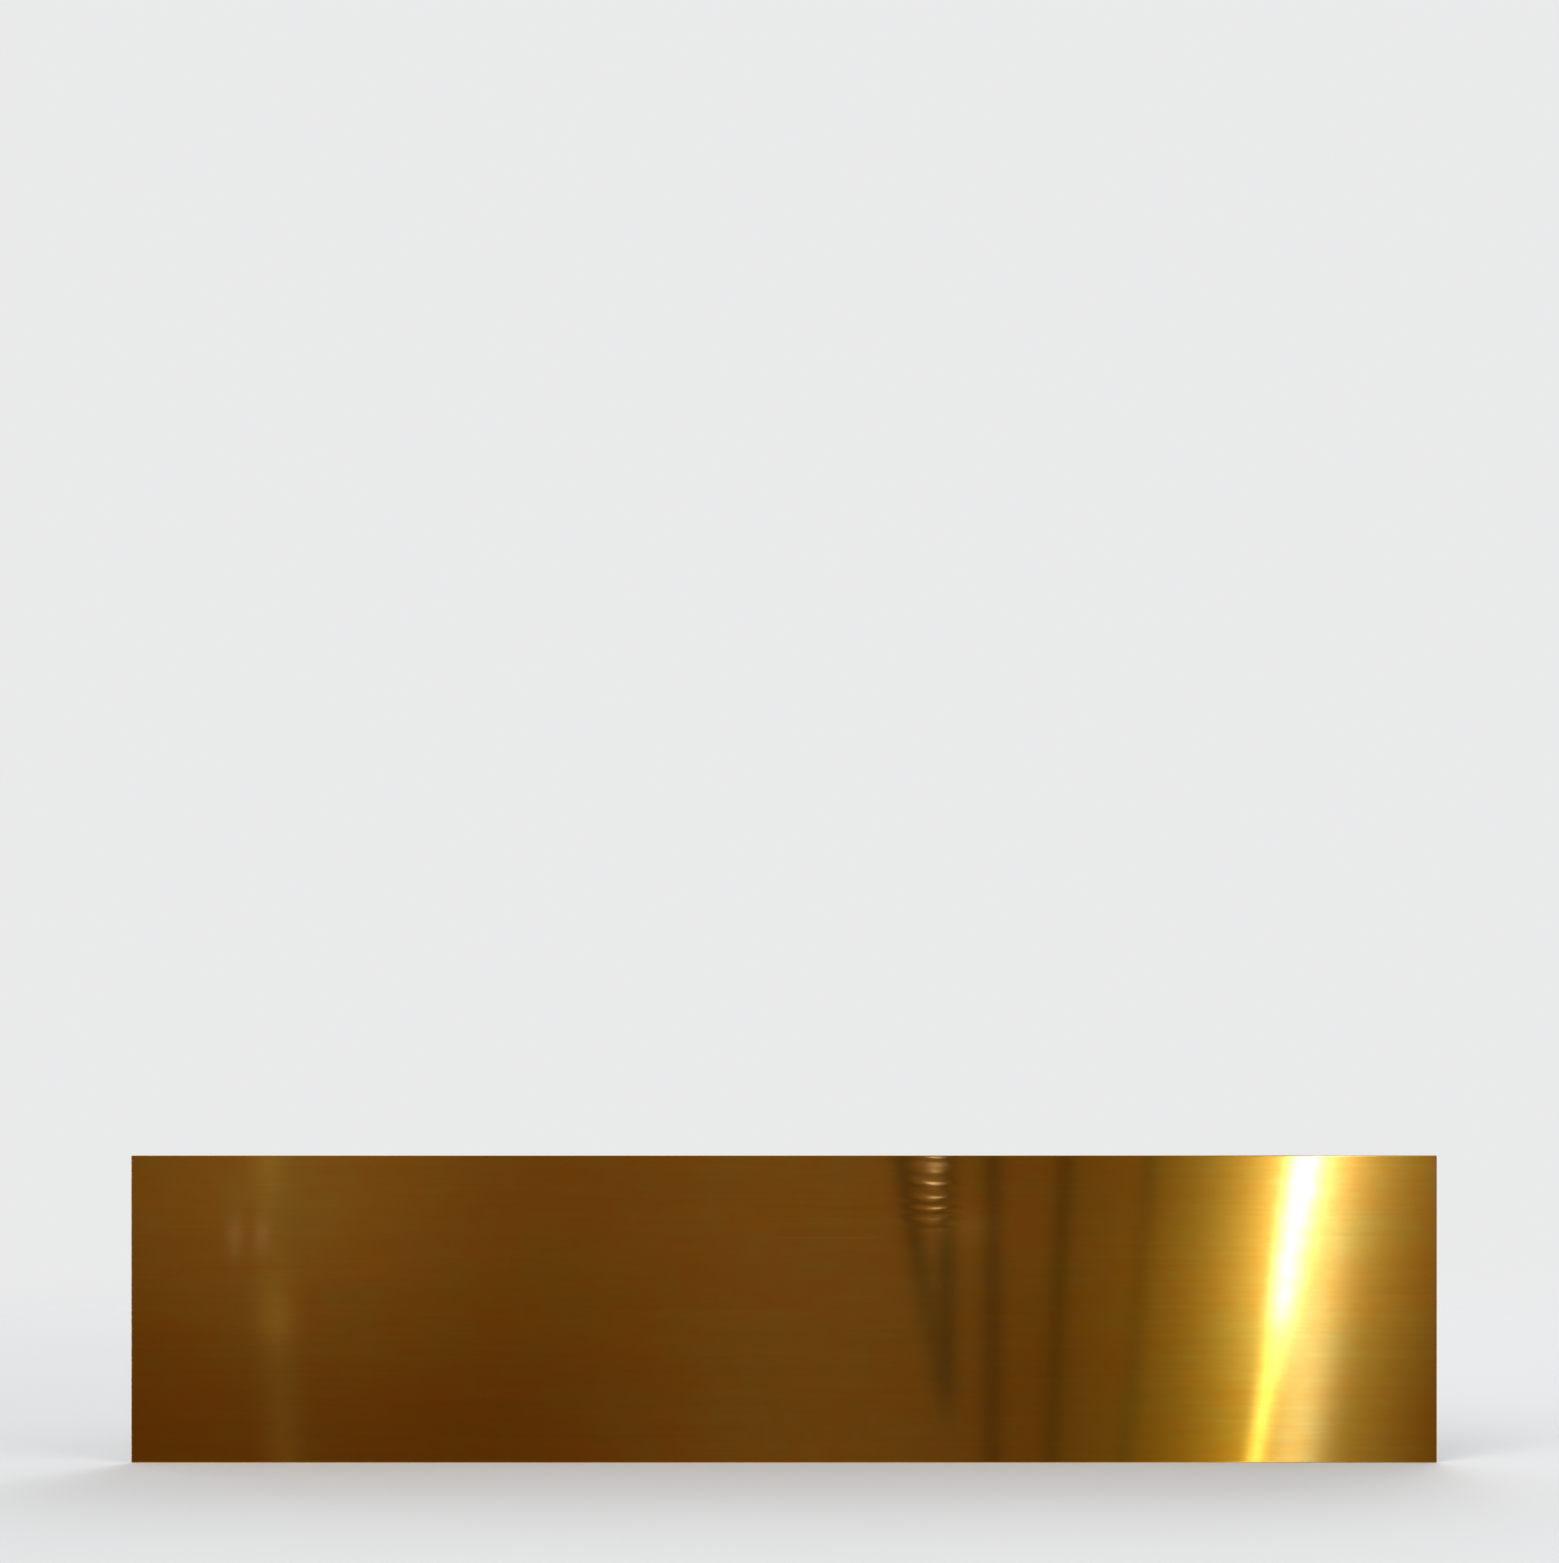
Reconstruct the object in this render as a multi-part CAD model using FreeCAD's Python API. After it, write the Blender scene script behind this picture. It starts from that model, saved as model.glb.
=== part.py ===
import FreeCAD, Part
import os

# A kick plate for a steel door: one sheet of polished brass, with seven flat magnet strips bonded
# to its back by a film of adhesive under each strip.
#
# Millimetres. The origin is the centre of the plane that rests on the door. X runs along the
# plate, Z is up, and the polished front faces -Y. Left and right are as seen from the front.

# ---- Driving dimensions ---------------------------------------------------------------------

# The brass sheet is a standard plate of 34 by 8 inches, in 0.050 inch stock.
PLATE_LENGTH = 863.6
PLATE_HEIGHT = 203.2
PLATE_THICKNESS = 1.27
PLATE_CORNER_RADIUS = 0.8
PLATE_EASED_EDGE_RADIUS = 0.4

# The magnet strip is 1 inch wide, in 0.060 inch stock, with its long edges a little rounded.
STRIP_WIDTH = 25.4
STRIP_THICKNESS = 1.52
STRIP_EDGE_RADIUS = 0.25

# The adhesive comes on the strip, as wide and as long as the strip is.
FILM_THICKNESS = 0.13

# The outer strips stay back from the plate's edge, so that none shows from the front.
STRIP_INSET = 1.6

# A strip that ends against the side of another one is cut this much short of it.
BUTT_GAP = 1.0

# Strips that run along the plate between the top one and the bottom one, from the top down.
INNER_ROWS = ("upper", "middle", "lower")

# ---- Worked out from them -------------------------------------------------------------------

# The layers, from the door forwards.
STRIP_BACK = 0.0
FILM_BACK = STRIP_BACK - STRIP_THICKNESS
PLATE_BACK = FILM_BACK - FILM_THICKNESS
PLATE_FRONT = PLATE_BACK - PLATE_THICKNESS

# The centre lines of the outer strips.
OUTER_ROW_Z = PLATE_HEIGHT / 2 - STRIP_INSET - STRIP_WIDTH / 2
END_STRIP_X = PLATE_LENGTH / 2 - STRIP_INSET - STRIP_WIDTH / 2

# How long each kind of strip is.
OUTER_ROW_LENGTH = PLATE_LENGTH - 2 * STRIP_INSET
INNER_ROW_LENGTH = 2 * END_STRIP_X - STRIP_WIDTH - 2 * BUTT_GAP
END_STRIP_LENGTH = 2 * OUTER_ROW_Z - STRIP_WIDTH - 2 * BUTT_GAP

# The slack allowed when two places or two directions are compared.
TOLERANCE = 1e-6

ALONG_PLATE = FreeCAD.Vector(1, 0, 0)
THROUGH_PLATE = FreeCAD.Vector(0, 1, 0)
UP_PLATE = FreeCAD.Vector(0, 0, 1)


def slab(size_x, size_z, thickness, centre_x, centre_z, back_y):
    """A flat block with its middle at centre_x and centre_z and its back face at back_y."""
    corner = FreeCAD.Vector(centre_x - size_x / 2, back_y - thickness, centre_z - size_z / 2)
    return Part.makeBox(size_x, thickness, size_z, corner)


def edges_along(shape, direction):
    """The straight edges of a block that run along a direction."""
    return [
        edge
        for edge in shape.Edges
        if edge.tangentAt(edge.FirstParameter).cross(direction).Length < TOLERANCE
    ]


def face_plate():
    """The brass sheet: rounded corners, and a front edge that is eased all the way round."""
    sheet = slab(PLATE_LENGTH, PLATE_HEIGHT, PLATE_THICKNESS, 0, 0, PLATE_BACK)
    corners = edges_along(sheet, THROUGH_PLATE)
    sheet = sheet.makeFillet(PLATE_CORNER_RADIUS, corners)
    outline = [edge for edge in sheet.Edges if edge.BoundBox.YMax < PLATE_FRONT + TOLERANCE]
    return sheet.makeFillet(PLATE_EASED_EDGE_RADIUS, outline)


def magnet_strip(size_x, size_z, centre_x, centre_z):
    """One length of magnet strip, cut square at its ends, with its four long edges rounded."""
    strip = slab(size_x, size_z, STRIP_THICKNESS, centre_x, centre_z, STRIP_BACK)
    length_direction = ALONG_PLATE if size_x > size_z else UP_PLATE
    return strip.makeFillet(STRIP_EDGE_RADIUS, edges_along(strip, length_direction))


def adhesive_film(size_x, size_z, centre_x, centre_z):
    """The film between one strip and the plate."""
    return slab(size_x, size_z, FILM_THICKNESS, centre_x, centre_z, FILM_BACK)


def strip_layout():
    """Each strip's name, with its size along X and Z and the place of its middle."""
    layout = {
        "top": (OUTER_ROW_LENGTH, STRIP_WIDTH, 0, OUTER_ROW_Z),
        "bottom": (OUTER_ROW_LENGTH, STRIP_WIDTH, 0, -OUTER_ROW_Z),
        "left_end": (STRIP_WIDTH, END_STRIP_LENGTH, -END_STRIP_X, 0),
        "right_end": (STRIP_WIDTH, END_STRIP_LENGTH, END_STRIP_X, 0),
    }
    row_spacing = 2 * OUTER_ROW_Z / (len(INNER_ROWS) + 1)
    for number, name in enumerate(INNER_ROWS, start=1):
        row_z = OUTER_ROW_Z - number * row_spacing
        layout[name] = (INNER_ROW_LENGTH, STRIP_WIDTH, 0, row_z)
    return layout


def sub_parts():
    """Every piece of the kick plate, by its name."""
    pieces = {"face_plate": face_plate()}
    for name, place in strip_layout().items():
        pieces[name + "_magnet_strip"] = magnet_strip(*place)
        pieces[name + "_strip_adhesive"] = adhesive_film(*place)
    return pieces


os.makedirs("parts", exist_ok=True)
for node, shape in sub_parts().items():
    shape.exportStep("parts/" + node + ".step")
    print(f"{node}: volume {shape.Volume:.1f} mm3, valid {shape.isValid()}, solids {len(shape.Solids)}")
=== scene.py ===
import math
import random

import bmesh
import bpy
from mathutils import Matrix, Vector, noise


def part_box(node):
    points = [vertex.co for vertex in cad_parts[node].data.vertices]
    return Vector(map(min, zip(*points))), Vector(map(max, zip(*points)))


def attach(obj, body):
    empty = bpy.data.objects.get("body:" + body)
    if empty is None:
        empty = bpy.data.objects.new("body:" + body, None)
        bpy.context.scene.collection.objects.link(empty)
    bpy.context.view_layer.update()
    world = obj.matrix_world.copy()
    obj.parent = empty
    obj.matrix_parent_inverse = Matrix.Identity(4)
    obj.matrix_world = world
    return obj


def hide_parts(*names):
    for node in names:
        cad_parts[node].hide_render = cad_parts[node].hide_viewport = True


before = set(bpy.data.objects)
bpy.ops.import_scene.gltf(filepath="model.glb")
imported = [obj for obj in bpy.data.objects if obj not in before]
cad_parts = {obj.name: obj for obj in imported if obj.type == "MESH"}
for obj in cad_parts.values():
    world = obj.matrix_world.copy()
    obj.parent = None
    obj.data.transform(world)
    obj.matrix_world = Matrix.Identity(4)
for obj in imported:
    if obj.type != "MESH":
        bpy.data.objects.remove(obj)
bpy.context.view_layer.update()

# A polished brass kick plate, held on a steel door by flat magnet strips bonded to its back.
# Metres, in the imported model's frame: X runs along the plate, Z is up, the polished front faces -Y.

MM = 0.001
STRIPS = ("top", "upper", "middle", "lower", "bottom", "left_end", "right_end")

plate_low, plate_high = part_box("face_plate")
plate_centre = (plate_low + plate_high) / 2
plate_length = plate_high.x - plate_low.x
plate_height = plate_high.z - plate_low.z
plate_thickness = plate_high.y - plate_low.y

scene = bpy.context.scene


# ---- Node trees ---------------------------------------------------------------------------------


class Nodes:
    """Makes the nodes of one tree. Anything it is given can be a number, a colour or a socket."""

    def __init__(self, tree):
        self.tree = tree
        tree.nodes.clear()

    def put(self, node, name, value):
        socket = node.inputs[name]
        if isinstance(value, bpy.types.NodeSocket):
            self.tree.links.new(value, socket)
        elif hasattr(value, "__len__") and len(value) < len(socket.default_value):
            socket.default_value = (*value, 1.0)
        else:
            socket.default_value = value

    def new(self, kind, settings=None, **inputs):
        node = self.tree.nodes.new(kind)
        for key, value in (settings or {}).items():
            setattr(node, key, value)
        for name, value in inputs.items():
            self.put(node, name.replace("_", " "), value)
        return node

    def math(self, operation, *values):
        node = self.new("ShaderNodeMath", {"operation": operation})
        for index, value in enumerate(values):
            self.put(node, index, value)
        return node.outputs[0]

    def add(self, first, *others):
        for value in others:
            first = self.math("ADD", first, value)
        return first

    def times(self, first, *others):
        for value in others:
            first = self.math("MULTIPLY", first, value)
        return first

    def less(self, first, second):
        return self.math("SUBTRACT", first, second)

    def over(self, first, second):
        return self.math("DIVIDE", first, second)

    def span(self, value, low, high, to_low=0.0, to_high=1.0):
        """Goes smoothly from to_low to to_high as value goes from low to high, and no further."""
        node = self.new("ShaderNodeMapRange", {"interpolation_type": "SMOOTHSTEP"})
        for index, number in enumerate((value, low, high, to_low, to_high)):
            self.put(node, index, number)
        return node.outputs[0]

    def mix(self, share, first, second):
        """A colour that goes from first to second as share goes from 0 to 1."""
        node = self.new("ShaderNodeMix", {"data_type": "RGBA"})
        for index, value in ((0, share), (6, first), (7, second)):
            self.put(node, index, value)
        return node.outputs[2]

    def tinted(self, amount, colour):
        """A colour, as bright as amount says."""
        node = self.new("ShaderNodeVectorMath", {"operation": "SCALE"})
        self.put(node, 0, colour)
        self.put(node, "Scale", amount)
        return node.outputs[0]

    def sum_of(self, colours):
        total = colours[0]
        for colour in colours[1:]:
            node = self.new("ShaderNodeVectorMath", {"operation": "ADD"})
            self.put(node, 0, total)
            self.put(node, 1, colour)
            total = node.outputs[0]
        return total

    def noise(self, point, per_metre, detail=2.0, roughness=0.5):
        """Noise about 0.5, with per_metre features to the metre along X, Y and Z."""
        scaled = self.new("ShaderNodeVectorMath", {"operation": "MULTIPLY"})
        self.put(scaled, 0, point)
        self.put(scaled, 1, per_metre)
        node = self.new(
            "ShaderNodeTexNoise", Vector=scaled.outputs[0], Scale=1.0, Detail=detail, Roughness=roughness
        )
        return node.outputs["Fac"]

    def split(self, point):
        return self.new("ShaderNodeSeparateXYZ", Vector=point).outputs

    def object_point(self):
        return self.new("ShaderNodeTexCoord").outputs["Object"]


def new_material(name):
    material = bpy.data.materials.new(name)
    material.use_nodes = True
    return material, Nodes(material.node_tree)


def show(nodes, shader, kind="ShaderNodeOutputMaterial"):
    output = nodes.new(kind)
    nodes.tree.links.new(shader.outputs[0], output.inputs["Surface"])


# ---- Materials ----------------------------------------------------------------------------------


# Chatter left by the polishing belt: a few shallow ripples across a small patch near the head.
CHATTER_X = 0.0990
CHATTER_REACH = 0.0130
CHATTER_FOOT = (0.050, 0.058)          # the heights between which the ripples begin
CHATTER_HEAD = (0.063, 0.098)          # the heights between which they grow shallower
CHATTER_PITCH = 8.4 * MM
CHATTER_CREST = 0.0850                 # the height of one crest
CHATTER_DEPTH = (0.062 * MM, 0.021 * MM)


def belt_chatter(nodes, point):
    """The ripples' height in metres, round CHATTER_X."""
    x, _, z = nodes.split(point)
    uneven = nodes.noise(point, (15.0, 0.0, 75.0), detail=1.0)
    lively = nodes.span(nodes.noise(point, (12.0, 3.0, 120.0), detail=1.0), 0.36, 0.60, 0.70, 1.10)
    slant = nodes.times(nodes.less(x, CHATTER_X), 9.0)
    turns = nodes.add(
        nodes.over(nodes.less(z, CHATTER_CREST), CHATTER_PITCH), nodes.times(uneven, 1.3), slant
    )
    ripple = nodes.math("SINE", nodes.times(turns, 2 * math.pi))
    aside = nodes.over(nodes.less(x, CHATTER_X), CHATTER_REACH)
    patch = nodes.math("POWER", math.e, nodes.times(aside, aside, -1.0))
    depth = nodes.times(nodes.span(z, *CHATTER_FOOT), nodes.span(z, *CHATTER_HEAD, *CHATTER_DEPTH))
    return nodes.times(ripple, patch, lively, depth)


WEAR = (0.3 * MM, 1.3 * MM)           # how far in from the outline wear starts to fade, and is gone


def outline_wear(nodes, point):
    """1 at the sheet's outline, 0 from about a millimetre inside it."""
    x, _, z = nodes.split(point)
    from_end = nodes.less(plate_length / 2, nodes.math("ABSOLUTE", nodes.less(x, plate_centre.x)))
    from_side = nodes.less(plate_height / 2, nodes.math("ABSOLUTE", nodes.less(z, plate_centre.z)))
    return nodes.span(nodes.math("MINIMUM", from_end, from_side), *WEAR, 1.0, 0.0)


HAIRLINE_X = 0.0300                    # the middle of the one long scratch
HAIRLINE_Z = 0.0472


def polished_brass():
    """Lacquered brass, polished and then brushed along the plate with a fine straight grain."""
    material, nodes = new_material("polished_brass")
    point = nodes.object_point()
    hairlines = nodes.noise(point, (9.0, 0.0, 2400.0), detail=2.0, roughness=0.6)
    grain = nodes.noise(point, (9.0, 0.0, 420.0), detail=3.0, roughness=0.6)
    streaks = nodes.noise(point, (16.0, 0.0, 150.0), detail=3.0, roughness=0.6)
    swathes = nodes.noise(point, (3.0, 0.0, 60.0), detail=3.0, roughness=0.55)
    redder = nodes.noise(point, (17.0, 0.0, 23.0), detail=3.0, roughness=0.5)
    blotches = nodes.noise(point, (75.0, 0.0, 95.0), detail=2.0, roughness=0.6)
    duller = nodes.noise(point, (31.0, 3.0, 37.0), detail=4.0, roughness=0.6)
    scratched = nodes.times(
        nodes.span(nodes.noise(point, (7.0, 0.0, 1500.0), detail=1.0), 0.70, 0.80),
        nodes.span(nodes.noise(point, (11.0, 5.0, 26.0), detail=2.0), 0.52, 0.66),
    )
    x, _, z = nodes.split(point)
    long_hairline = nodes.times(
        nodes.span(nodes.math("ABSOLUTE", nodes.less(z, HAIRLINE_Z)), 0.2 * MM, 0.8 * MM, 1.0, 0.0),
        nodes.span(nodes.math("ABSOLUTE", nodes.less(x, HAIRLINE_X)), 0.025, 0.045, 0.9, 0.0),
    )
    scratched = nodes.math("MAXIMUM", scratched, long_hairline)
    worn = nodes.times(
        outline_wear(nodes, point),
        nodes.span(nodes.noise(point, (120.0, 60.0, 120.0), detail=3.0), 0.30, 0.70),
    )

    hue = nodes.add(nodes.times(redder, 0.6), nodes.times(blotches, 0.4))
    colour = nodes.mix(nodes.span(hue, 0.33, 0.67), (0.90, 0.51, 0.08), (0.83, 0.59, 0.13))
    colour = nodes.mix(nodes.span(grain, 0.30, 0.70, 0.12, 0.0), colour, (0.56, 0.32, 0.045))
    colour = nodes.mix(nodes.span(streaks, 0.30, 0.70, 0.085, 0.0), colour, (0.58, 0.34, 0.050))
    colour = nodes.mix(nodes.span(swathes, 0.35, 0.65, 0.10, 0.0), colour, (0.60, 0.34, 0.045))
    colour = nodes.mix(nodes.times(scratched, 0.30), colour, (0.95, 0.76, 0.42))
    colour = nodes.mix(nodes.times(worn, 0.35), colour, (0.93, 0.70, 0.30))
    roughness = nodes.add(
        0.06,
        nodes.span(grain, 0.25, 0.75, 0.0, 0.004),
        nodes.span(duller, 0.5, 0.8, 0.0, 0.010),
        nodes.times(scratched, 0.05),
        nodes.times(worn, 0.08),
    )
    height = nodes.add(
        nodes.times(hairlines, 0.15),
        nodes.times(grain, 0.6),
        swathes,
        nodes.times(scratched, -0.1),
    )
    brushed = nodes.new("ShaderNodeBump", Strength=1.0, Distance=0.015 * MM, Height=height)
    rippled = nodes.new(
        "ShaderNodeBump",
        Strength=1.0,
        Distance=1.0,
        Height=belt_chatter(nodes, point),
        Normal=brushed.outputs[0],
    )
    tangent = nodes.new("ShaderNodeTangent", {"direction_type": "UV_MAP", "uv_map": "grain"})
    shader = nodes.new(
        "ShaderNodeBsdfPrincipled",
        Base_Color=colour,
        Metallic=1.0,
        Roughness=roughness,
        Anisotropic=1.0,
        Anisotropic_Rotation=0.25,
        Tangent=tangent.outputs[0],
        Normal=rippled.outputs[0],
        Coat_Weight=0.3,
        Coat_Roughness=0.045,
        Coat_IOR=1.5,
    )
    show(nodes, shader)
    return material


def mill_brass():
    """The sheet's back: brass as it comes off the rolling mill, dull, lined and a little tarnished."""
    material, nodes = new_material("mill_brass")
    point = nodes.object_point()
    lines = nodes.noise(point, (3.0, 0.0, 1100.0), detail=3.0, roughness=0.65)
    bands = nodes.noise(point, (1.5, 0.0, 120.0), detail=3.0, roughness=0.6)
    tarnish = nodes.noise(point, (14.0, 0.0, 19.0), detail=5.0, roughness=0.62)
    stains = nodes.noise(point, (42.0, 0.0, 47.0), detail=4.0, roughness=0.65)
    scuffs = nodes.times(
        nodes.span(nodes.noise(point, (260.0, 0.0, 38.0), detail=3.0, roughness=0.7), 0.60, 0.72),
        nodes.span(nodes.noise(point, (9.0, 0.0, 13.0), detail=2.0), 0.50, 0.62),
    )
    colour = nodes.mix(nodes.span(tarnish, 0.38, 0.66), (0.80, 0.525, 0.185), (0.60, 0.355, 0.125))
    colour = nodes.mix(nodes.span(bands, 0.35, 0.65, 0.25, 0.0), colour, (0.60, 0.40, 0.18))
    colour = nodes.mix(nodes.span(lines, 0.30, 0.70, 0.30, 0.0), colour, (0.42, 0.25, 0.09))
    colour = nodes.mix(nodes.span(stains, 0.58, 0.72, 0.0, 0.35), colour, (0.40, 0.22, 0.10))
    colour = nodes.mix(nodes.times(scuffs, 0.30), colour, (0.88, 0.68, 0.36))
    roughness = nodes.add(
        0.21,
        nodes.span(lines, 0.3, 0.7, 0.0, 0.06),
        nodes.span(tarnish, 0.4, 0.7, 0.0, 0.10),
        nodes.span(stains, 0.58, 0.72, 0.0, 0.10),
    )
    height = nodes.add(nodes.times(lines, 0.5), bands, nodes.times(scuffs, -0.4))
    bump = nodes.new("ShaderNodeBump", Strength=1.0, Distance=0.03 * MM, Height=height)
    tangent = nodes.new("ShaderNodeTangent", {"direction_type": "UV_MAP", "uv_map": "grain"})
    shader = nodes.new(
        "ShaderNodeBsdfPrincipled",
        Base_Color=colour,
        Metallic=1.0,
        Roughness=roughness,
        Anisotropic=0.6,
        Anisotropic_Rotation=0.25,
        Tangent=tangent.outputs[0],
        Normal=bump.outputs[0],
    )
    show(nodes, shader)
    return material


def magnet_rubber():
    """Flexible magnet: rubber filled with ferrite, extruded, with lines along it and dust on it."""
    material, nodes = new_material("magnet_rubber")
    laid = nodes.new("ShaderNodeUVMap", {"uv_map": "laid"}).outputs[0]
    point = nodes.object_point()
    lines = nodes.noise(laid, (5.0, 1700.0, 0.0), detail=3.0, roughness=0.7)
    bands = nodes.noise(laid, (3.0, 260.0, 0.0), detail=2.0, roughness=0.6)
    cloudy = nodes.noise(point, (27.0, 27.0, 27.0), detail=7.0, roughness=0.72)
    speckle = nodes.noise(point, (1500.0, 1500.0, 1500.0), detail=2.0, roughness=0.7)
    fluff = nodes.noise(laid, (700.0, 240.0, 0.0), detail=4.0, roughness=0.75)
    rubbed = nodes.times(
        nodes.span(nodes.noise(laid, (90.0, 620.0, 0.0), detail=3.0, roughness=0.7), 0.58, 0.74),
        nodes.span(nodes.noise(point, (12.0, 12.0, 12.0), detail=2.0), 0.45, 0.60),
    )
    dust = nodes.add(
        nodes.times(nodes.span(cloudy, 0.44, 0.72, 0.02, 0.26), nodes.span(lines, 0.3, 0.7, 1.25, 0.75)),
        nodes.span(speckle, 0.60, 0.75, 0.0, 0.12),
        nodes.span(fluff, 0.64, 0.74, 0.0, 0.25),
    )
    colour = nodes.mix(nodes.span(bands, 0.35, 0.65), (0.030, 0.026, 0.024), (0.046, 0.039, 0.034))
    colour = nodes.mix(nodes.span(lines, 0.32, 0.68, 0.55, 0.0), colour, (0.018, 0.016, 0.015))
    colour = nodes.mix(dust, colour, (0.175, 0.160, 0.142))
    colour = nodes.mix(nodes.times(rubbed, 0.35), colour, (0.090, 0.082, 0.076))
    roughness = nodes.add(
        0.50,
        nodes.times(dust, 0.8),
        nodes.span(lines, 0.3, 0.7, 0.08, 0.0),
        nodes.times(rubbed, -0.12),
    )
    height = nodes.add(lines, nodes.times(bands, 1.5), nodes.times(speckle, 0.5))
    bump = nodes.new("ShaderNodeBump", Strength=1.0, Distance=0.03 * MM, Height=height)
    shader = nodes.new(
        "ShaderNodeBsdfPrincipled", Base_Color=colour, Roughness=roughness, Normal=bump.outputs[0]
    )
    show(nodes, shader)
    return material


def bonding_film():
    """Pale clear acrylic adhesive, seen only at the edge that squeezed out from under a strip."""
    material, nodes = new_material("bonding_film")
    point = nodes.object_point()
    cloudy = nodes.noise(point, (160.0, 160.0, 160.0), detail=3.0, roughness=0.6)
    grime = nodes.noise(point, (900.0, 900.0, 900.0), detail=3.0, roughness=0.7)
    colour = nodes.mix(nodes.span(cloudy, 0.35, 0.65), (0.66, 0.58, 0.42), (0.50, 0.42, 0.28))
    colour = nodes.mix(nodes.span(grime, 0.55, 0.75, 0.0, 0.5), colour, (0.13, 0.11, 0.09))
    roughness = nodes.add(
        0.22,
        nodes.span(cloudy, 0.3, 0.7, 0.0, 0.16),
        nodes.span(grime, 0.5, 0.8, 0.0, 0.3),
    )
    bump = nodes.new("ShaderNodeBump", Strength=1.0, Distance=0.05 * MM, Height=cloudy)
    shader = nodes.new(
        "ShaderNodeBsdfPrincipled",
        Base_Color=colour,
        Roughness=roughness,
        Normal=bump.outputs[0],
        Transmission_Weight=0.35,
        IOR=1.47,
    )
    show(nodes, shader)
    return material


# ---- The brass sheet ----------------------------------------------------------------------------

SHEET_CELL = 3.0 * MM         # of the grid that both faces are made of
CORNER_RADIUS = 0.8 * MM
EASED_RADIUS = 0.4 * MM       # of the front edge
CORNER_STEPS = 6
EASED_STEPS = 5
WAVE_HEIGHT = 0.05 * MM       # how far the polished face strays from flat
WAVE_LENGTH = 130 * MM
SHARP_ANGLE = math.radians(40)


def wave_at(x, z):
    """How far the polished face stands proud of flat, as a rolled and polished sheet does."""
    place = Vector((x / WAVE_LENGTH, 0.0, z / WAVE_LENGTH))
    return WAVE_HEIGHT * noise.noise(place)


class Sheet:
    """Builds the brass sheet: two grids, joined round the outline by rings of faces."""

    def __init__(self):
        self.shape = bmesh.new()
        self.columns = round((plate_length - 2 * CORNER_RADIUS) / SHEET_CELL)
        self.rows = round((plate_height - 2 * CORNER_RADIUS) / SHEET_CELL)

    def vertex(self, x, y, z):
        share = (plate_high.y - y) / plate_thickness
        return self.shape.verts.new((x, y - share * wave_at(x, z), z))

    def grid(self, y):
        """A face's grid, which stops short of the outline by the corners' radius."""
        low, high = plate_low, plate_high
        width = (plate_length - 2 * CORNER_RADIUS) / self.columns
        height = (plate_height - 2 * CORNER_RADIUS) / self.rows
        return [
            [
                self.vertex(low.x + CORNER_RADIUS + column * width, y, low.z + CORNER_RADIUS + row * height)
                for column in range(self.columns + 1)
            ]
            for row in range(self.rows + 1)
        ]

    def fill(self, grid, faces_front):
        for row in range(self.rows):
            for column in range(self.columns):
                corners = [
                    grid[row][column],
                    grid[row][column + 1],
                    grid[row + 1][column + 1],
                    grid[row + 1][column],
                ]
                face = self.shape.faces.new(corners if faces_front else corners[::-1])
                face.material_index = 0 if faces_front else 1

    def rim(self, grid):
        """A grid's outer vertices in order round it, with each corner given once for every arc point."""
        sides = (
            grid[0],
            [row[-1] for row in grid],
            grid[-1][::-1],
            [row[0] for row in grid][::-1],
        )
        ring = []
        for side in sides:
            ring += side[1:-1]
            ring += [side[-1]] * (CORNER_STEPS + 1)
        return ring

    def ring(self, grid, inset, y):
        """Vertices round the outline, inset from it, each next to its fellow in the grid's rim."""
        made = []
        turn = -math.pi / 2
        last = None
        step = 0
        for vertex in self.rim(grid):
            step = step + 1 if vertex is last else 0
            last = vertex
            x, z = vertex.co.x, vertex.co.z
            at_corner = self.is_corner(x, z)
            angle = turn + (math.pi / 2 * step / CORNER_STEPS if at_corner else 0.0)
            reach = CORNER_RADIUS - inset
            made.append(self.vertex(x + reach * math.cos(angle), y, z + reach * math.sin(angle)))
            if at_corner and step == CORNER_STEPS:
                turn += math.pi / 2
        return made

    def is_corner(self, x, z):
        half_x = plate_length / 2 - CORNER_RADIUS
        half_z = plate_height / 2 - CORNER_RADIUS
        slack = SHEET_CELL / 4
        near_end = abs(abs(x - plate_centre.x) - half_x) < slack
        near_side = abs(abs(z - plate_centre.z) - half_z) < slack
        return near_end and near_side

    def join(self, first, second):
        """Faces between two rings, leaving out the points that a corner repeats."""
        for index in range(len(first)):
            after = (index + 1) % len(first)
            corners = [first[index], first[after], second[after], second[index]]
            distinct = list(dict.fromkeys(corners))
            if len(distinct) > 2:
                self.shape.faces.new(distinct)

    def build(self):
        front, back = self.grid(plate_low.y), self.grid(plate_high.y)
        self.fill(front, True)
        self.fill(back, False)
        rings = [self.rim(front)]
        for step in range(EASED_STEPS + 1):
            angle = math.pi / 2 * step / EASED_STEPS
            inset = EASED_RADIUS * (1 - math.sin(angle))
            depth = EASED_RADIUS * (1 - math.cos(angle))
            rings.append(self.ring(front, inset, plate_low.y + depth))
        rings.append(self.ring(back, 0.0, plate_high.y))
        rings.append(self.rim(back))
        for first, second in zip(rings, rings[1:]):
            self.join(second, first)
        self.shape.normal_update()
        return self.shape


def link(name, shape, materials):
    mesh = bpy.data.meshes.new(name)
    shape.to_mesh(mesh)
    shape.free()
    for material in materials:
        mesh.materials.append(material)
    piece = bpy.data.objects.new(name, mesh)
    scene.collection.objects.link(piece)
    return piece


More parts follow.
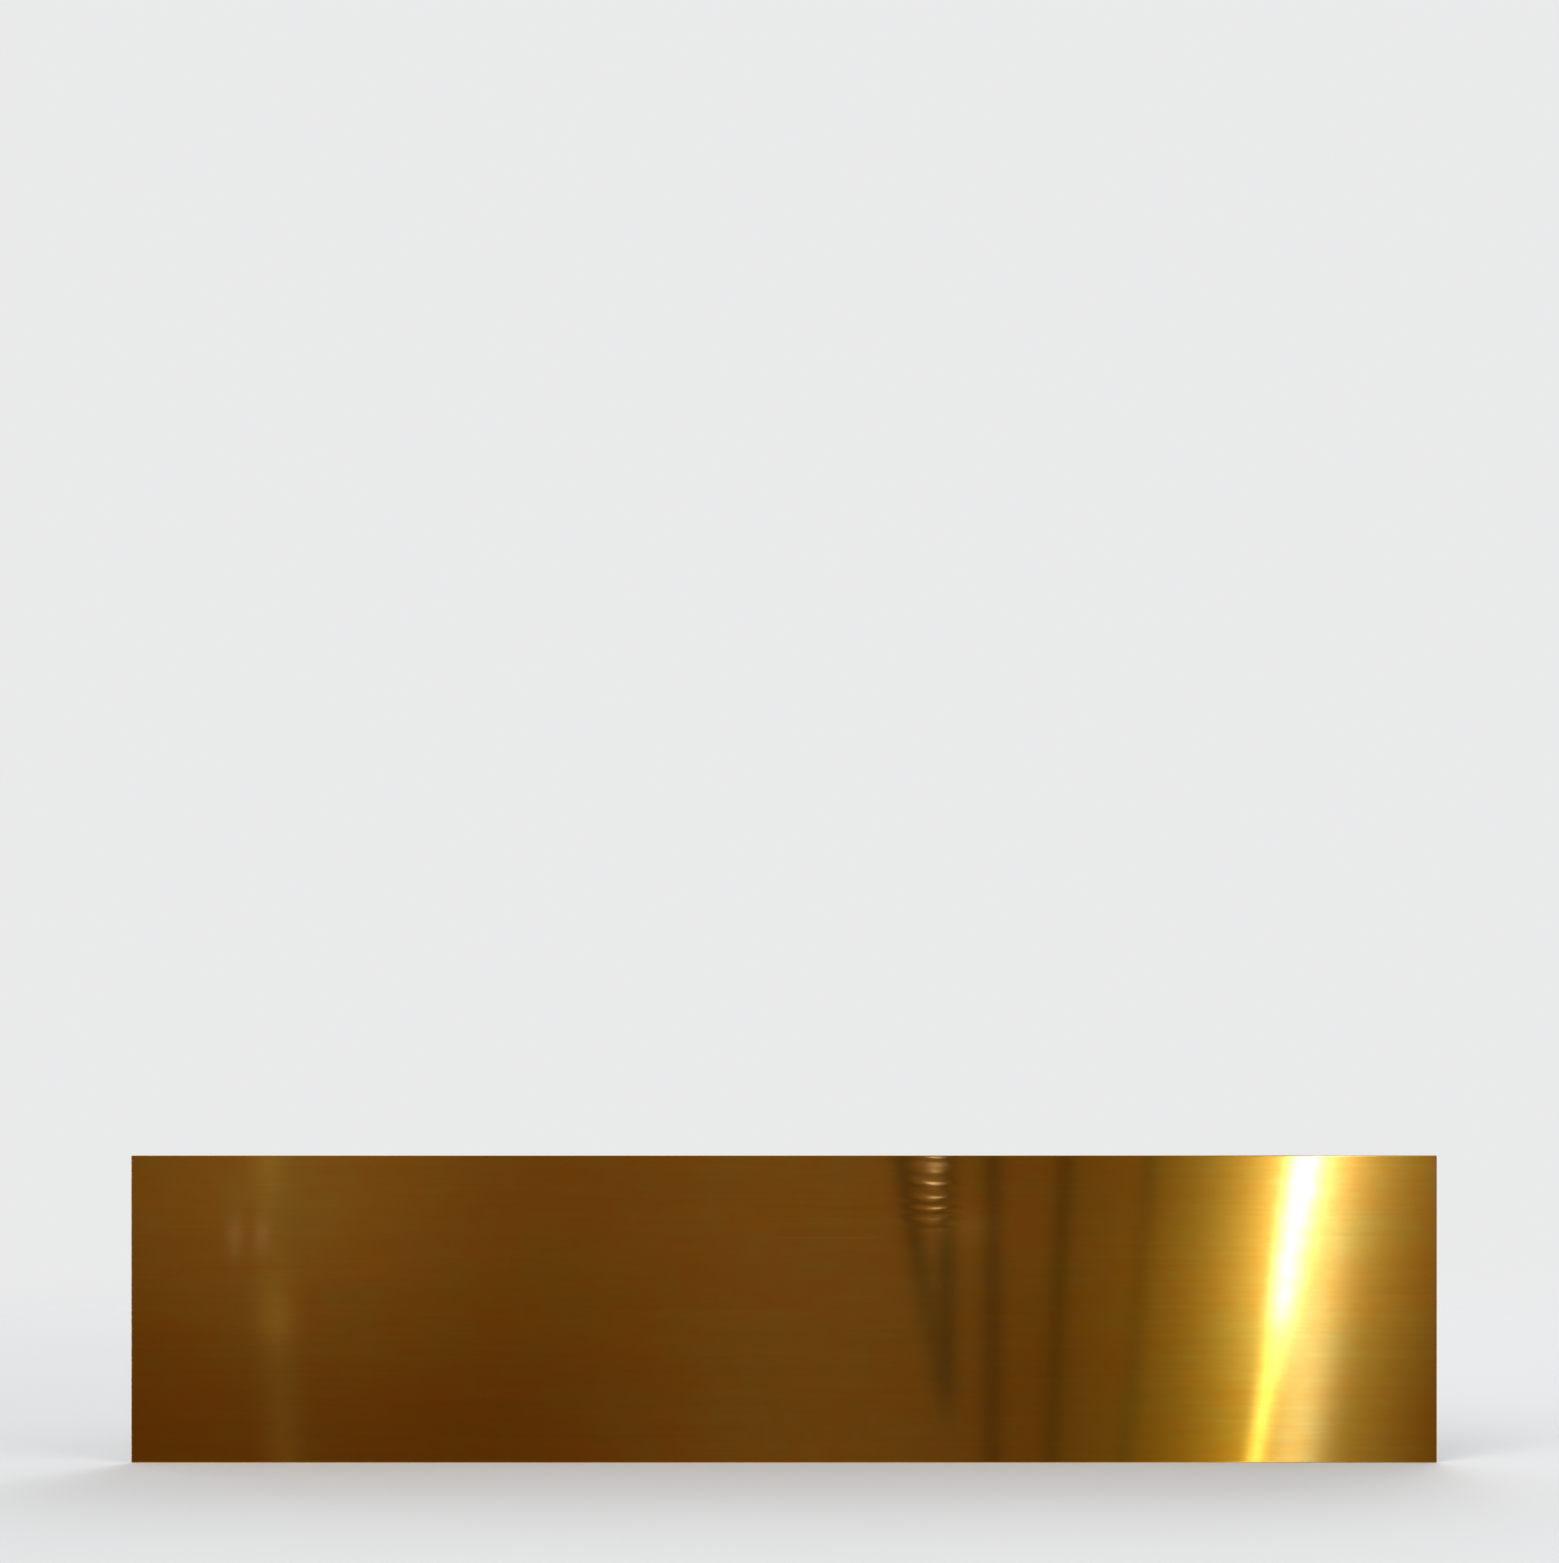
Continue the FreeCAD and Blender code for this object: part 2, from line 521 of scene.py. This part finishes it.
def smooth_between_sharp_edges(piece):
    piece.data.set_sharp_from_angle(angle=SHARP_ANGLE)
    piece.modifiers.new("flat_faces", "WEIGHTED_NORMAL").keep_sharp = True


def brass_sheet():
    sheet = Sheet().build()
    grain = sheet.loops.layers.uv.new("grain")
    for face in sheet.faces:
        face.smooth = True
        for loop in face.loops:
            loop[grain].uv = (loop.vert.co.x, loop.vert.co.z)
    piece = link("brass_face_plate", sheet, [polished_brass(), mill_brass()])
    smooth_between_sharp_edges(piece)
    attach(piece, "root")
    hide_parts("face_plate")


brass_sheet()

# ---- The magnet strips and the film that bonds them ---------------------------------------------

RUN_CELL = 6.0 * MM           # of the sections that a strip or film is swept through
STRIP_EDGE_RADIUS = 0.25 * MM
STRIP_LINES = 30              # drawn along a strip's face by the die it was pushed through
LINE_DEPTH = 0.045 * MM
STRIP_DRIFT = 0.20 * MM       # how far a strip laid by hand strays from its line
DRIFT_WAVE = 190 * MM         # about how long each of its bends is
TRIM_SKEW = 0.010             # how far out of square a strip's ends are cut, as a slope
FILM_EDGE_RADIUS = 0.06 * MM
FILM_SQUEEZE = 0.12 * MM      # how far the film stands out from under its strip
SPREAD_WAVE = 13 * MM         # about how long each change in the film's width is
WAVER_WAVE = 11 * MM          # and each of its wanderings to either side
EDGE_STEPS = 4


def rounded_side(width, thickness, radius, faces):
    """Half a flat section: its far face and the upper half of both rounded edges.

    Gives pairs of place across and height above the near face. faces lists the points on the
    flat as shares of its width, each with how deep a line is pressed in there.
    """
    flat = width / 2 - radius
    side = []
    for step in range(EDGE_STEPS):
        angle = math.pi / 2 * step / EDGE_STEPS
        side.append((-flat - radius * math.cos(angle), thickness - radius + radius * math.sin(angle)))
    for share, depth in faces:
        side.append((share * flat, thickness - depth))
    return side + [(-across, height) for across, height in side[:EDGE_STEPS][::-1]]


def closed_section(width, thickness, radius, faces):
    """The whole section: the far side with its pressed lines, then the plain near side back."""
    far = rounded_side(width, thickness, radius, faces)
    plain = rounded_side(width, thickness, radius, [(share, 0.0) for share, _ in faces])
    return far + [(across, thickness - height) for across, height in plain[::-1]]


class Run:
    """A long thin piece laid on the sheet's back: one section, swept along the longer of X and Z."""

    def __init__(self, low, high, seed):
        self.low, self.high, self.seed = low, high, seed
        self.along_axis = 0 if high.x - low.x > high.z - low.z else 2
        self.across_axis = 2 - self.along_axis
        self.length = high[self.along_axis] - low[self.along_axis]
        self.width = high[self.across_axis] - low[self.across_axis]
        self.thickness = high.y - low.y
        self.middle = (low[self.across_axis] + high[self.across_axis]) / 2

    def vary(self, along, wave_length, track):
        """A smooth value between about -1 and 1 that differs from run to run and track to track."""
        return 2 * noise.noise(Vector((along / wave_length, 7.3 * self.seed, 3.1 * track)))

    def sweep(self, section, squeeze, skews):
        shape = bmesh.new()
        steps = math.ceil(self.length / RUN_CELL)
        rings = []
        for step in range(steps + 1):
            share = step / steps
            along = self.low[self.along_axis] + self.length * share
            drift = STRIP_DRIFT * self.vary(along, DRIFT_WAVE, 0)
            spread = 1 + 2 * squeeze * self.vary(along, SPREAD_WAVE, 1) / self.width
            drift += squeeze * self.vary(along, WAVER_WAVE, 2)
            skew = skews[0] * (1 - share) + skews[1] * share
            rings.append([
                self.vertex(shape, along + skew * across, drift + across * spread, height)
                for across, height in section
            ])
        for ring, following in zip(rings, rings[1:]):
            for index in range(len(ring)):
                after = (index + 1) % len(ring)
                shape.faces.new((ring[index], ring[after], following[after], following[index]))
        for ring in (rings[0], rings[-1]):
            for index in range(len(ring) // 2 - 1):
                opposite = len(ring) - 1 - index
                shape.faces.new((ring[index], ring[index + 1], ring[opposite - 1], ring[opposite]))
        bmesh.ops.recalc_face_normals(shape, faces=shape.faces)
        return shape

    def vertex(self, shape, along, across, height):
        place = [0.0, self.low.y + height, 0.0]
        place[self.along_axis] = along
        place[self.across_axis] = self.middle + across
        return shape.verts.new(place)

    def unwrap(self, shape):
        """A map in metres, along and across the run, moved on from run to run."""
        laid = shape.loops.layers.uv.new("laid")
        for face in shape.faces:
            face.smooth = True
            for loop in face.loops:
                place = loop.vert.co
                loop[laid].uv = (place[self.along_axis] + 1.7 * self.seed, place[self.across_axis])


def finish_run(name, run, shape, material, node):
    run.unwrap(shape)
    piece = link(name, shape, [material])
    smooth_between_sharp_edges(piece)
    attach(piece, "root")
    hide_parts(node)


def strip_and_film(name, seed, rubber, film):
    """One magnet strip and the film under it, in place of their two CAD nodes."""
    dice = random.Random(seed)
    run = Run(*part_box(name + "_magnet_strip"), seed)
    faces = [
        (2 * line / STRIP_LINES - 1, LINE_DEPTH * dice.random() if 0 < line < STRIP_LINES else 0.0)
        for line in range(STRIP_LINES + 1)
    ]
    section = closed_section(run.width, run.thickness, STRIP_EDGE_RADIUS, faces)
    skews = [dice.uniform(-TRIM_SKEW, TRIM_SKEW) for _ in range(2)]
    shape = run.sweep(section, 0.0, skews)
    finish_run(name + "_magnet", run, shape, rubber, name + "_magnet_strip")

    run = Run(*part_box(name + "_strip_adhesive"), seed)
    faces = [(share / 2, 0.0) for share in (-2, -1, 0, 1, 2)]
    section = closed_section(run.width + FILM_SQUEEZE, run.thickness, FILM_EDGE_RADIUS, faces)
    shape = run.sweep(section, FILM_SQUEEZE, skews)
    finish_run(name + "_film", run, shape, film, name + "_strip_adhesive")


rubber = magnet_rubber()
film = bonding_film()
for index, name in enumerate(STRIPS):
    strip_and_film(name, index + 1, rubber, film)

# ---- The camera: level and square on, with the plate low in the frame ---------------------------

LENS = 100.0                  # on Blender's 36 mm sensor, which the frame's long side fills
FRAME_HEIGHT = 1.0338         # how much of the plate's plane the frame takes in, top to bottom
CAMERA_LEFT = 3.0 * MM        # of the plate's middle
CAMERA_ABOVE = 349.0 * MM     # the plate's middle


def make_camera():
    data = bpy.data.cameras.new("camera")
    data.lens = LENS
    camera = bpy.data.objects.new("camera", data)
    scene.collection.objects.link(camera)
    distance = FRAME_HEIGHT * LENS / data.sensor_width
    data.clip_start = distance / 100
    data.clip_end = distance * 20
    camera.location = (
        plate_centre.x - CAMERA_LEFT,
        plate_low.y - distance,
        plate_centre.z + CAMERA_ABOVE,
    )
    camera.rotation_euler = (math.radians(90), 0, 0)
    scene.camera = camera
    return distance


camera_distance = make_camera()

# ---- What the brass mirrors ---------------------------------------------------------------------

# One glowing card stands in front of the plate, and is seen only in glossy reflections. It is drawn
# in the plate's own measure, then enlarged and set so that, from the camera, each point of the
# drawing is mirrored at the same point of the plate.

CARD_DISTANCE = 0.5
CARD_REACH = 2.5              # the card's half width, in its own measure
card_scale = 1 + CARD_DISTANCE / camera_distance


class Drawing:
    """Draws soft shapes on the card.

    Places along it are shares of the plate's length from its middle, and rise goes from 0 at the
    plate's foot to 1 at its head.
    """

    def __init__(self, nodes):
        self.nodes = nodes
        x, _, z = nodes.split(nodes.object_point())
        self.along = nodes.over(x, plate_length)
        self.rise = nodes.add(nodes.over(z, plate_height), 0.5)

    def between(self, foot, head):
        """A value that is foot at the plate's foot and head at its head, and goes on past both."""
        return self.nodes.add(foot, self.nodes.times(self.rise, head - foot))

    def bell(self, value, middle, half_width):
        """1 where value is middle, falling off like a bell curve to either side."""
        share = self.nodes.over(self.nodes.less(value, middle), half_width)
        return self.nodes.math("POWER", math.e, self.nodes.times(share, share, -1.0))

    def bar(self, foot, head, half_width):
        """1 along a line from foot to head, falling off like a bell curve."""
        return self.bell(self.along, self.between(foot, head), half_width)

    def halo(self, foot, head, reach):
        """1 along a line from foot to head, falling off fast at first and then slowly."""
        distance = self.nodes.less(self.along, self.between(foot, head))
        share = self.nodes.over(self.nodes.math("ABSOLUTE", distance), reach)
        return self.nodes.math("POWER", math.e, self.nodes.times(share, -1.0))


# The lights of the room, each as linear red, green and blue.
SKY = (2.7, 4.0, 9.5)         # a clear blue sky, seen directly
LIT_GROUND = (1.1, 1.3, 1.0)  # the green outside
WARM_WALL = (0.9, 0.8, 0.2)   # walls and curtains lit by the window
DUSK = (0.05, 0.046, 0.035)   # the daylight left deep in the room
LAMP = (1.5, 1.5, 2.8)        # cold white, for the near lamp and the far ones
# The brown walls, as mirrored at the plate's foot and at its head.
WALLS_BELOW = (0.105, 0.043, 0.003)
WALLS_ABOVE = (0.15, 0.075, 0.02)

# The bright gap between two curtains, as shares of the plate's length from its middle.
WINDOW_FOOT = 0.36
WINDOW_HEAD = 0.40
GAP_HALF_WIDTH = (0.006, 0.010)  # at the foot and at the head
SKY_LINE = (0.42, 0.56)       # the rise over which the gap turns from lit ground to sky
WINDOW_TOP = 1.5              # the rise at which the window's light starts to fade
# How far right of the gap each of these stands.
GLOW_RIGHT = 0.001
HAZE_RIGHT = 0.010
CURTAIN_RIGHT = 0.03
SILL_RIGHT = 0.06


def window_light(drawing):
    """A tall bright gap between curtains, with its glow: strong at the head, weak at the foot."""
    nodes = drawing.nodes
    rise = drawing.rise

    def beside(right):
        return WINDOW_FOOT + right, WINDOW_HEAD + right

    outside = nodes.mix(nodes.span(rise, *SKY_LINE), LIT_GROUND, SKY)
    gap = drawing.bar(*beside(0.0), nodes.span(rise, 0.0, 1.0, *GAP_HALF_WIDTH))
    curtain = nodes.times(
        drawing.bar(*beside(CURTAIN_RIGHT), 0.02),
        nodes.span(rise, 0.0, 1.0, 1.0, 0.0),
    )
    haze = nodes.times(
        drawing.halo(*beside(HAZE_RIGHT), 0.018),
        nodes.span(rise, 0.0, 1.0, 0.0, 0.38),
    )
    glow = nodes.times(
        drawing.halo(*beside(GLOW_RIGHT), nodes.span(rise, 0.0, 1.0, 0.044, 0.035)),
        nodes.span(rise, 0.0, 1.0, 0.75, 2.1),
    )
    sill = nodes.times(
        drawing.bar(*beside(SILL_RIGHT), 0.06),
        nodes.span(rise, 0.0, 1.0, 2.3, 1.4),
    )
    light = nodes.sum_of([
        nodes.tinted(gap, outside),
        nodes.tinted(nodes.add(nodes.times(curtain, 0.13), haze), SKY),
        nodes.tinted(nodes.add(nodes.times(curtain, 0.25), glow), WARM_WALL),
        nodes.tinted(sill, DUSK),
    ])
    return nodes.tinted(nodes.span(rise, WINDOW_TOP, 2 * WINDOW_TOP, 1.0, 0.1), light)


POST_HALF_WIDTH = 0.009       # of the posts and of both props
# Posts of the room's full height: where each stands at the foot and at the head, and how dark it is.
POSTS = (
    (0.16, 0.16, 0.45),
    (0.205, 0.215, 0.4),
    (0.26, 0.28, 0.35),
)
LEANING_PROP = (0.13, 0.09)   # where it stands at the foot and at the head
STRAIGHT_PROP = 0.125
CORNER = 0.18                 # which they all stand in
LAMP_ALONG = 0.117
LAMP_RISE = 1.08              # just past the plate's head, where the ripples catch it
LAMP_GLOW = (0.14, 0.11)      # at the foot and at the head
SHELF_ALONG = 0.14
SHELF_RISE = 0.77
DOORWAY = (-0.383, -0.395)    # at the foot and at the head
DOORWAY_RISE = 0.48           # where it is brightest
FAR_LAMPS_ALONG = (-0.42, -0.40)
FAR_LAMPS_RISE = 0.74
BEYOND_ALONG = -0.38          # the daylight round the doorway
MIDDLE_ALONG = 0.03           # the daylight in the middle of the room
SIDE_WINDOW_ALONG = -0.735    # further left than the plate mirrors from the camera


def room_shade(drawing):
    """The share of the walls' light that the room's uprights leave."""
    nodes = drawing.nodes
    rise = drawing.rise
    shades = [
        nodes.times(drawing.bar(foot, head, POST_HALF_WIDTH), dark) for foot, head, dark in POSTS
    ]
    # One prop leans to the left, and a straight one stands beside it. Both fade out near the foot.
    shades.append(nodes.times(
        drawing.bar(*LEANING_PROP, POST_HALF_WIDTH),
        nodes.span(rise, 0.1, 0.3, 0.0, 1.0),
        nodes.span(rise, 0.3, 0.9, 0.3, 0.6),
    ))
    shades.append(nodes.times(
        drawing.bar(STRAIGHT_PROP, STRAIGHT_PROP, POST_HALF_WIDTH),
        nodes.span(rise, 0.1, 0.3, 0.0, 0.5),
    ))
    # The corner that they all stand in is a little darker.
    shades.append(nodes.times(drawing.bar(CORNER, CORNER, 0.08), 0.06))
    return nodes.times(*[nodes.less(1.0, shade) for shade in shades])


def room_light(drawing):
    """A dim brown room, paler towards its ceiling, with dark uprights and a far doorway."""
    nodes = drawing.nodes
    rise = drawing.rise
    along = drawing.along
    walls = nodes.mix(nodes.span(rise, 0.0, 1.0), WALLS_BELOW, WALLS_ABOVE)
    walls = nodes.tinted(room_shade(drawing), walls)
    doorway = nodes.times(
        drawing.bar(*DOORWAY, 0.014),
        nodes.add(
            nodes.span(rise, 0.0, 0.4, 0.6, 0.3),
            nodes.times(drawing.bell(rise, DOORWAY_RISE, 0.08), 1.3),
            nodes.span(rise, 0.8, 1.0, 0.0, 1.0),
        ),
    )
    far_lamps = nodes.times(
        nodes.add(*[drawing.bell(along, place, 0.006) for place in FAR_LAMPS_ALONG]),
        drawing.bell(rise, FAR_LAMPS_RISE, 0.03),
    )
    near_lamp = nodes.times(
        drawing.bell(along, LAMP_ALONG, 0.0055), drawing.bell(rise, LAMP_RISE, 0.055)
    )
    lamp_glow = nodes.times(drawing.bar(*LAMP_GLOW, 0.008), nodes.span(rise, 0.7, 0.8))
    shelf = nodes.times(
        drawing.bell(along, SHELF_ALONG, 0.025), drawing.bell(rise, SHELF_RISE, 0.04)
    )
    lamps = nodes.add(near_lamp, nodes.times(far_lamps, 0.08), nodes.times(lamp_glow, 0.02))
    beyond = nodes.times(
        drawing.bell(along, BEYOND_ALONG, 0.13), nodes.span(rise, 0.0, 1.0, 0.3, 1.3)
    )
    middle = nodes.times(
        drawing.bell(along, MIDDLE_ALONG, 0.18), nodes.span(rise, 0.0, 1.0, 1.0, 0.7)
    )
    return nodes.sum_of([
        walls,
        nodes.tinted(nodes.times(doorway, 0.04), LIT_GROUND),
        nodes.tinted(nodes.add(beyond, middle, shelf), DUSK),
        nodes.tinted(lamps, LAMP),
    ])


def side_light(drawing):
    """What the plate mirrors only when it is seen from one side or from high up."""
    nodes = drawing.nodes
    rise = drawing.rise
    window = nodes.times(
        drawing.bell(drawing.along, SIDE_WINDOW_ALONG, 0.013),
        nodes.span(rise, -2.0, 0.5, 7.0, 10.0),
    )
    glow = nodes.times(
        drawing.halo(SIDE_WINDOW_ALONG, SIDE_WINDOW_ALONG, 0.048),
        nodes.span(rise, -2.0, 0.5, 1.3, 2.1),
        nodes.span(drawing.along, -0.66, -0.53, 1.0, 0.0),
    )
    boards = nodes.span(rise, -0.25, -0.95, 0.0, 0.42)
    return nodes.sum_of([
        nodes.tinted(window, (1.0, 0.96, 0.90)),
        nodes.tinted(glow, (1.0, 0.90, 0.62)),
        nodes.tinted(boards, (1.0, 0.82, 0.58)),
    ])


def mirrored_room():
    material, nodes = new_material("mirrored_room")
    drawing = Drawing(nodes)
    light = nodes.sum_of([
        room_light(drawing),
        window_light(drawing),
        side_light(drawing),
    ])
    emission = nodes.new("ShaderNodeEmission", Color=light, Strength=1.0)
    show(nodes, emission)
    material.cycles.emission_sampling = "NONE"
    return material


def make_card():
    shape = bmesh.new()
    corners = [(-1, -1), (1, -1), (1, 1), (-1, 1)]
    shape.faces.new([shape.verts.new((CARD_REACH * x, 0.0, CARD_REACH * z)) for x, z in corners])
    card = link("mirrored_card", shape, [mirrored_room()])
    nearer = CARD_DISTANCE / camera_distance
    card.location = (
        plate_centre.x + CAMERA_LEFT * nearer,
        plate_low.y - CARD_DISTANCE,
        plate_centre.z - CAMERA_ABOVE * nearer,
    )
    card.scale = (card_scale, 1.0, card_scale)
    card.visible_camera = False
    card.visible_diffuse = False
    card.visible_shadow = False
    card.visible_transmission = False


# ---- Floor, backdrop and lights -----------------------------------------------------------------

BACKDROP = (0.820, 0.822, 0.830)
FLOOR_RADIUS = 1.6
FLOOR_FADE = (0.45, 1.35)     # where the floor starts to give way to the backdrop, and where it is gone
FLOOR_DROP = 0.1 * MM         # below the plate's lower edge
FLOOR_RINGS = 12
FLOOR_SPOKES = 96


def pale_floor():
    """Matt pale board with a faint grain, which fades into the backdrop away from the plate."""
    material, nodes = new_material("pale_floor")
    point = nodes.object_point()
    x, y, _ = nodes.split(point)
    away = nodes.math("SQRT", nodes.add(nodes.times(x, x), nodes.times(y, y)))
    fine = nodes.noise(point, (420.0, 420.0, 420.0), detail=4.0, roughness=0.6)
    broad = nodes.noise(point, (5.0, 5.0, 5.0), detail=2.0, roughness=0.5)
    colour = nodes.mix(nodes.span(fine, 0.35, 0.65, 0.0, 0.5), (0.740, 0.742, 0.750), (0.765, 0.767, 0.775))
    colour = nodes.mix(nodes.span(broad, 0.35, 0.65, 0.0, 0.4), colour, (0.730, 0.732, 0.742))
    bump = nodes.new("ShaderNodeBump", Strength=0.2, Distance=0.05 * MM, Height=fine)
    board = nodes.new("ShaderNodeBsdfDiffuse", Color=colour, Normal=bump.outputs[0])
    clear = nodes.new("ShaderNodeBsdfTransparent")
    blend = nodes.new("ShaderNodeMixShader")
    nodes.put(blend, 0, nodes.span(away, FLOOR_FADE[0], FLOOR_FADE[1]))
    nodes.put(blend, 1, board.outputs[0])
    nodes.put(blend, 2, clear.outputs[0])
    show(nodes, blend)
    return material


def make_floor():
    shape = bmesh.new()
    middle = shape.verts.new((0.0, 0.0, 0.0))
    inner = None
    for ring in range(1, FLOOR_RINGS + 1):
        reach = FLOOR_RADIUS * ring / FLOOR_RINGS
        turns = [2 * math.pi * spoke / FLOOR_SPOKES for spoke in range(FLOOR_SPOKES)]
        outer = [shape.verts.new((reach * math.cos(turn), reach * math.sin(turn), 0.0)) for turn in turns]
        for spoke in range(FLOOR_SPOKES):
            after = (spoke + 1) % FLOOR_SPOKES
            if inner:
                shape.faces.new((inner[spoke], outer[spoke], outer[after], inner[after]))
            else:
                shape.faces.new((middle, outer[spoke], outer[after]))
        inner = outer
    floor = link("floor", shape, [pale_floor()])
    floor.location = (plate_centre.x, plate_centre.y, plate_low.z - FLOOR_DROP)
    floor.visible_glossy = False


# Name, place, width, and power in watts. None shows in the brass, which mirrors the room instead.
LIGHTS = (
    ("key", (-0.9, -1.5, 1.9), 1.8, 19.0),
    ("fill", (1.5, -1.0, 1.2), 1.6, 8.0),
    ("rear", (0.5, 1.7, 1.5), 1.8, 17.0),
)


def make_lights():
    for name, place, width, power in LIGHTS:
        data = bpy.data.lights.new(name, "AREA")
        data.shape = "DISK"
        data.size = width
        data.energy = power
        light = bpy.data.objects.new(name, data)
        scene.collection.objects.link(light)
        light.location = place
        light.rotation_euler = (plate_centre - Vector(place)).to_track_quat("-Z", "Y").to_euler()
        light.visible_glossy = False


# Upright panels of light round the studio: bearing from +Y towards +X, half width, both in
# radians, and brightness.
SOFTBOXES = ((0.70, 0.22, 1.5), (-0.72, 0.22, 1.3), (-0.05, 0.20, 0.9), (2.1, 0.30, 0.5), (-2.2, 0.35, 0.6))


def make_world():
    """The camera sees a plain pale backdrop; the object is lit by a soft studio, paler overhead."""
    world = bpy.data.worlds.new("studio")
    world.use_nodes = True
    scene.world = world
    nodes = Nodes(world.node_tree)
    direction = nodes.new("ShaderNodeTexCoord").outputs["Generated"]
    x, y, z = nodes.split(direction)
    ground = nodes.mix(nodes.span(z, -0.6, 0.0), (0.42, 0.42, 0.42), (0.24, 0.25, 0.26))
    ceiling = nodes.mix(nodes.span(z, 0.0, 0.8), ground, (0.66, 0.67, 0.67))
    bearing = nodes.math("ARCTAN2", x, y)
    boxes = [
        nodes.times(
            nodes.span(nodes.math("ABSOLUTE", nodes.less(bearing, middle)), 0.0, reach, 1.0, 0.0),
            bright,
        )
        for middle, reach, bright in SOFTBOXES
    ]
    boxes = nodes.times(nodes.add(*boxes), nodes.span(nodes.math("ABSOLUTE", z), 0.35, 0.75, 1.0, 0.0))
    studio = nodes.sum_of([ceiling, nodes.tinted(boxes, (1.0, 1.0, 0.98))])
    path = nodes.new("ShaderNodeLightPath")
    seen = nodes.mix(path.outputs["Is Camera Ray"], studio, BACKDROP)
    background = nodes.new("ShaderNodeBackground", Color=seen, Strength=1.0)
    show(nodes, background, "ShaderNodeOutputWorld")


make_card()
make_floor()
make_lights()
make_world()
scene.view_settings.view_transform = "Standard"
